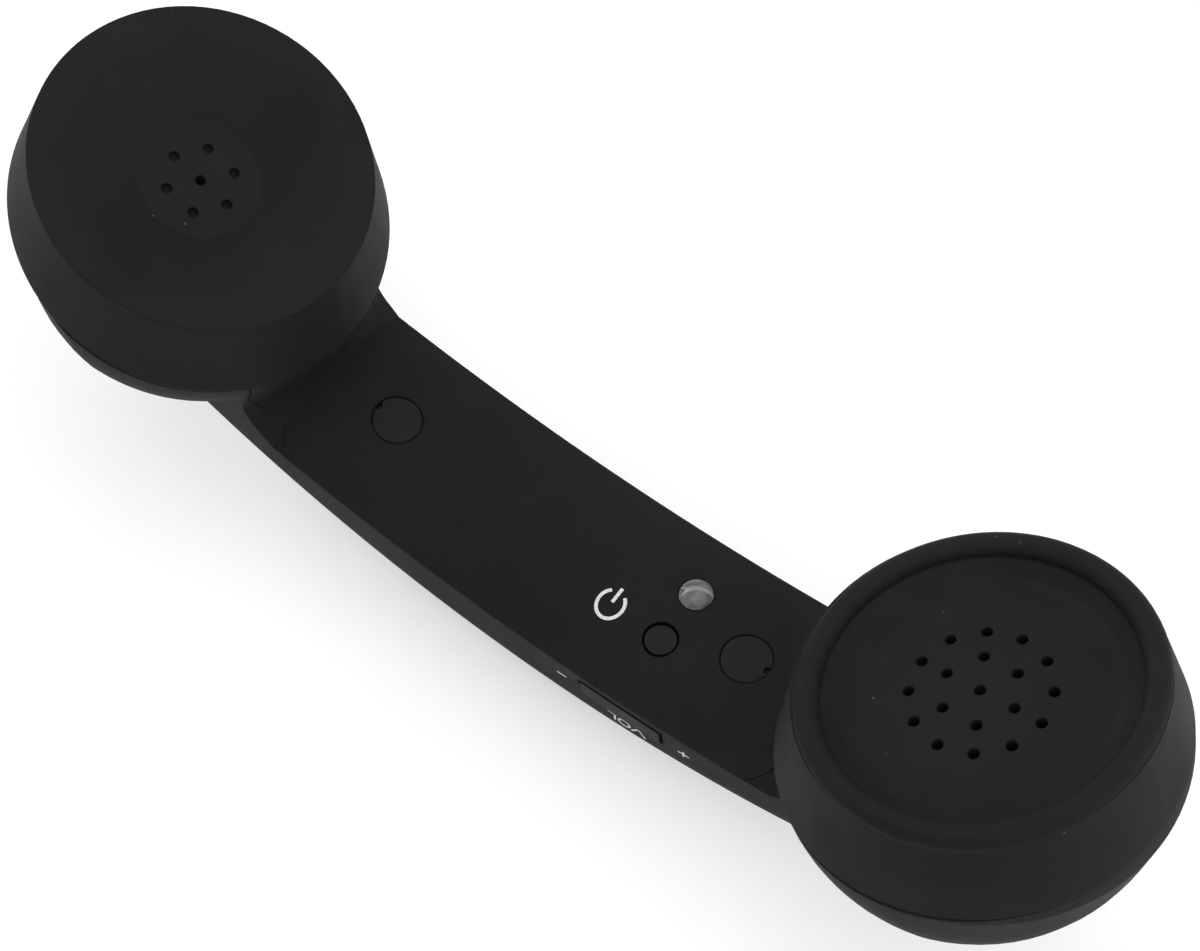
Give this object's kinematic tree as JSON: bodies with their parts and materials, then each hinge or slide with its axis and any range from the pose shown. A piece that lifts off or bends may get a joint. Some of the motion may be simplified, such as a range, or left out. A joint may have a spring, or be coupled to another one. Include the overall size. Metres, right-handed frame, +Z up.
{
  "type": "telephone handset",
  "caption": "Matte black wireless telephone handset in a classic curved shape, with a call button, status lamp, volume rocker and charging socket.",
  "frame": {"origin": "middle of the resting flat on the handset's back", "axes": "+X from the mouthpiece to the earpiece, +Y away from the side with the volume rocker, +Z up out of the grip panel"},
  "size_m": [0.2066, 0.0618, 0.0804],
  "materials": {
    "soft_black": "soft touch matte",
    "key_black": "soft touch matte",
    "switch_black": "moulded",
    "steel": "plated",
    "bright_metal": "bright",
    "clear_lens": "clear",
    "led_body": "glossy",
    "circuit_board": "solder mask",
    "battery_foil": "foil",
    "black_foam": "foam",
    "paper_cone": "pressed fibre",
    "black_cloth": "woven"
  },
  "bodies": {
    "handset_body": {"front_shell": "soft_black", "back_shell": "soft_black", "plug_mouthpiece": "soft_black", "plug_earpiece": "soft_black", "case_screws": "steel", "button_switch": "switch_black", "lamp_lens": "clear_lens", "lamp_reflector": "bright_metal", "lamp_led": "led_body", "rocker_pivot": "steel", "volume_switches": "switch_black", "volume_board": "circuit_board", "main_board": "circuit_board", "board_screws": "steel", "radio_can": "bright_metal", "battery": "battery_foil", "battery_pad": "black_foam", "speaker_frame": "switch_black", "speaker_magnet": "steel", "speaker_cone": "paper_cone", "speaker_gasket": "black_foam", "earpiece_cloth": "black_cloth", "microphone": "bright_metal", "mic_boot": "black_foam", "charging_socket": "bright_metal", "charging_board": "circuit_board"},
    "call_button": {"call_button": "key_black"},
    "volume_rocker": {"volume_rocker": "key_black"}
  },
  "joints": [
    {"name": "call_button_press", "type": "slide", "parent": "handset_body", "child": "call_button", "axis": [0.0935, 0, -0.9956], "range_m": [0, 0.0006], "stiffness_N_per_m": 400},
    {"name": "volume_rocker_rock", "type": "hinge", "parent": "handset_body", "child": "volume_rocker", "pos_m": [0.0237, -0.0126, 0.01713], "axis": [-0.0948, 0, 0.9955], "range_deg": [-2.5, 2.5], "stiffness_Nm_per_rad": 0.05}
  ]
}
